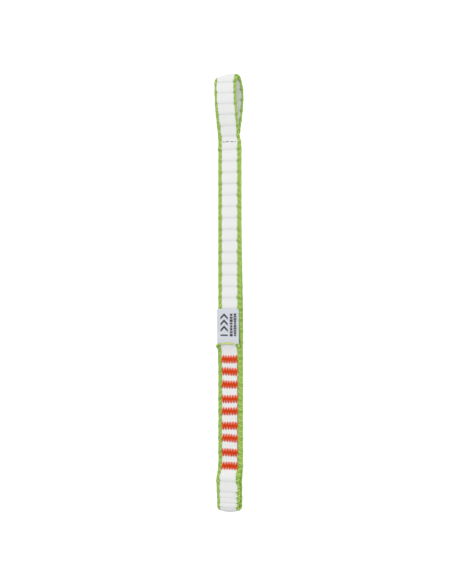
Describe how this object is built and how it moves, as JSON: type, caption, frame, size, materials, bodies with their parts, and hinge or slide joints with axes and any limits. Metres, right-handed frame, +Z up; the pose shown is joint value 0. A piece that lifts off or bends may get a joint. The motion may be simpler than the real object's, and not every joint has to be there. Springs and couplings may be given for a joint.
{
  "type": "sewn webbing sling",
  "caption": "Short sewn loop of narrow webbing: an open upper eye, a two-layer leg, a bar-tacked block with a folded label and a small tight lower eye.",
  "frame": {"origin": "middle of the flat inside the crown of the upper eye, where a carabiner's bar bears", "axes": "+Z up along the hanging sling, +Y from the front face with the label to the back, +X across the webbing to the right seen from the front"},
  "size_m": [0.01, 0.0075, 0.1699],
  "materials": {
    "webbing": "matt woven webbing, white core with yellow-green selvedges",
    "bar_tack_thread": "orange zigzag sewing thread with a slight sheen",
    "throat_thread": "dark sewing thread",
    "label_satin": null
  },
  "bodies": {
    "upper_eye": {"webbing_upper_eye": "webbing", "throat_tack": "throat_thread"},
    "leg_upper": {"webbing_leg_upper_front": "webbing", "webbing_leg_upper_back": "webbing"},
    "leg_middle": {"webbing_leg_middle_front": "webbing", "webbing_leg_middle_back": "webbing"},
    "leg_lower": {"webbing_leg_lower_front": "webbing", "webbing_leg_lower_back": "webbing"},
    "block": {"webbing_block_inner": "webbing", "webbing_block_back": "webbing", "webbing_block_tail": "webbing", "bar_tack_1": "bar_tack_thread", "bar_tack_2": "bar_tack_thread", "bar_tack_3": "bar_tack_thread", "bar_tack_4": "bar_tack_thread", "bar_tack_5": "bar_tack_thread", "bar_tack_6": "bar_tack_thread", "bar_tack_7": "bar_tack_thread", "bar_tack_8": "bar_tack_thread", "bar_tack_9": "bar_tack_thread", "label_root": "label_satin"},
    "lower_eye": {"webbing_lower_eye": "webbing"},
    "label": {"label_flap": "label_satin"}
  },
  "joints": [
    {"name": "throat_flex", "type": "hinge", "parent": "upper_eye", "child": "leg_upper", "pos_m": [0, 0.00222, -0.0319], "axis": [1, 0, 0], "range_deg": [-60, 60], "stiffness_Nm_per_rad": 0.002},
    {"name": "leg_flex", "type": "hinge", "parent": "leg_upper", "child": "leg_middle", "pos_m": [0, 0.00222, -0.04823], "axis": [1, 0, 0], "range_deg": [-60, 60], "stiffness_Nm_per_rad": 0.002},
    {"name": "leg_twist", "type": "hinge", "parent": "leg_middle", "child": "leg_lower", "pos_m": [0, 0.00237, -0.06457], "axis": [0, 0, 1], "range_deg": [-90, 90], "stiffness_Nm_per_rad": 0.002},
    {"name": "block_flex", "type": "hinge", "parent": "leg_lower", "child": "block", "pos_m": [0, 0.0027, -0.0809], "axis": [1, 0, 0], "range_deg": [-60, 60], "stiffness_Nm_per_rad": 0.002},
    {"name": "lower_eye_flex", "type": "hinge", "parent": "block", "child": "lower_eye", "pos_m": [0, 0.00172, -0.1553], "axis": [1, 0, 0], "range_deg": [-60, 60], "stiffness_Nm_per_rad": 0.002},
    {"name": "label_lift", "type": "hinge", "parent": "block", "child": "label", "pos_m": [0, 0.00065, -0.1023], "axis": [1, 0, 0], "range_deg": [0, 90], "stiffness_Nm_per_rad": 0.0001}
  ]
}
